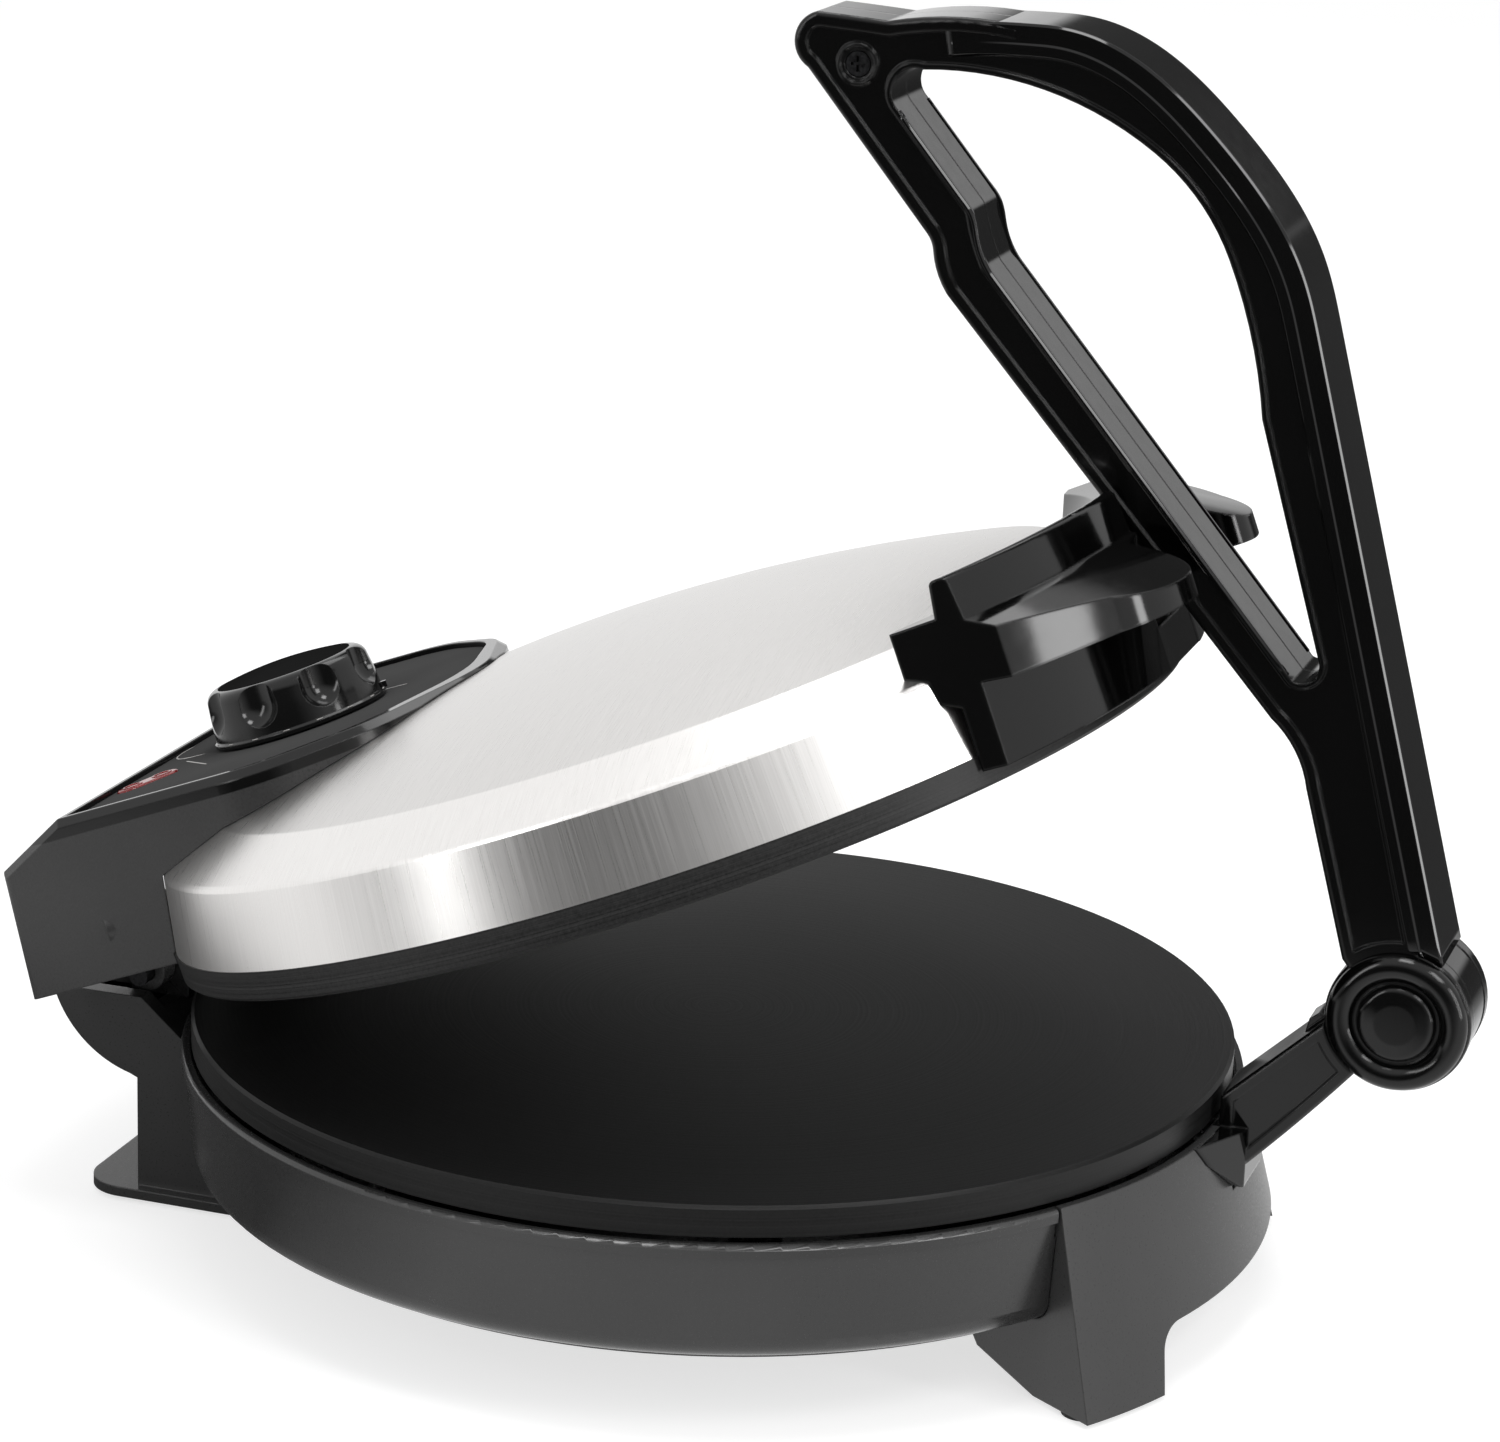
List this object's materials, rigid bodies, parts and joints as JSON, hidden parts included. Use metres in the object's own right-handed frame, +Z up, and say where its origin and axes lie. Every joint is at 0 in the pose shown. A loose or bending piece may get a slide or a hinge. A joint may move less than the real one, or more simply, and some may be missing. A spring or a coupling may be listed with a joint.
{
  "type": "electric flatbread press",
  "caption": "Countertop flatbread press-cooker with hinged domed lid, thermostat knob, flared stand and looped press lever.",
  "frame": {"origin": "centre of the lower plate's cooking face", "axes": "+Z up out of the cooking face, +Y from the press lever towards the lid hinge, +X to the right seen from the lever side"},
  "size_m": [0.2652, 0.3559, 0.3102],
  "materials": {
    "plate_coating": "satin non-stick coating with fine turning lines",
    "brushed_cover": "brushed stainless steel, wall grained upright",
    "drum_paint": "satin dark grey",
    "stand_moulding": "satin black",
    "housing_moulding": "black, satin sides and gloss bevel",
    "panel_print": "fine textured dark grey with plain pale dial marks",
    "gloss_moulding": "gloss black",
    "knob_moulding": "black, satin skirt and gloss scoops",
    "cap_finish": "satin grey-black",
    "red_lens": "translucent red",
    "lamp_glass": "clear",
    "rubber": "matt",
    "sheath": "oxidised sheath",
    "tray_metal": "pressed sheet",
    "insulator": "pale moulding",
    "lead_sleeve": "woven glass sleeve",
    "fuse_case": "plain",
    "pin_steel": "plated",
    "dark_steel": "blackened",
    "screw_steel": "zinc plated"
  },
  "bodies": {
    "base": {"base_drum": "drum_paint", "base_leads": "lead_sleeve", "bottom_cover": "drum_paint", "bracket_screws": "screw_steel", "cord_gland": "rubber", "cover_screws": "screw_steel", "front_apron": "stand_moulding", "hinge_pins": "dark_steel", "lever_bracket": "gloss_moulding", "lower_element": "sheath", "lower_plate": "plate_coating", "lower_reflector": "tray_metal", "plate_posts": "tray_metal", "plate_screws": "screw_steel", "rear_stand": "stand_moulding", "reflector_screws": "screw_steel", "rubber_feet": "rubber", "stand_screws": "screw_steel", "terminal_block": "insulator", "thermal_fuse": "fuse_case"},
    "lid": {"lid_cover": "brushed_cover", "upper_plate": "plate_coating", "upper_element": "sheath", "upper_reflector": "tray_metal", "upper_plate_screws": "screw_steel", "control_housing": "housing_moulding", "housing_screws": "screw_steel", "control_panel": "panel_print", "thermostat": "insulator", "indicator_lens": "red_lens", "pilot_lamps": "lamp_glass", "saddle": "gloss_moulding", "saddle_screws": "dark_steel", "lid_leads": "lead_sleeve"},
    "knob": {"knob": "knob_moulding", "knob_cap": "cap_finish", "thermostat_shaft": "pin_steel"},
    "lever": {"lever_left": "gloss_moulding", "lever_right": "gloss_moulding", "lever_screws": "dark_steel", "hub_caps": "gloss_moulding", "pivot_bolt": "pin_steel", "pivot_nut": "pin_steel"}
  },
  "joints": [
    {"name": "lid_hinge", "type": "hinge", "parent": "base", "child": "lid", "pos_m": [0, 0.139, 0.0006], "axis": [-1, 0, 0], "range_deg": [-21.4, 60]},
    {"name": "lever_swing", "type": "hinge", "parent": "base", "child": "lever", "pos_m": [0, -0.1732, 0.0257], "axis": [1, 0, 0], "range_deg": [-40.1, 112.3]},
    {"name": "knob_turn", "type": "hinge", "parent": "lid", "child": "knob", "pos_m": [0, 0.11292, 0.05958], "axis": [0, 0.3649, 0.9311], "range_deg": [0, 270]}
  ],
  "couplings": [
    {"joint": "lever_swing", "follows": "lid_hinge", "ratio": 1.87}
  ]
}
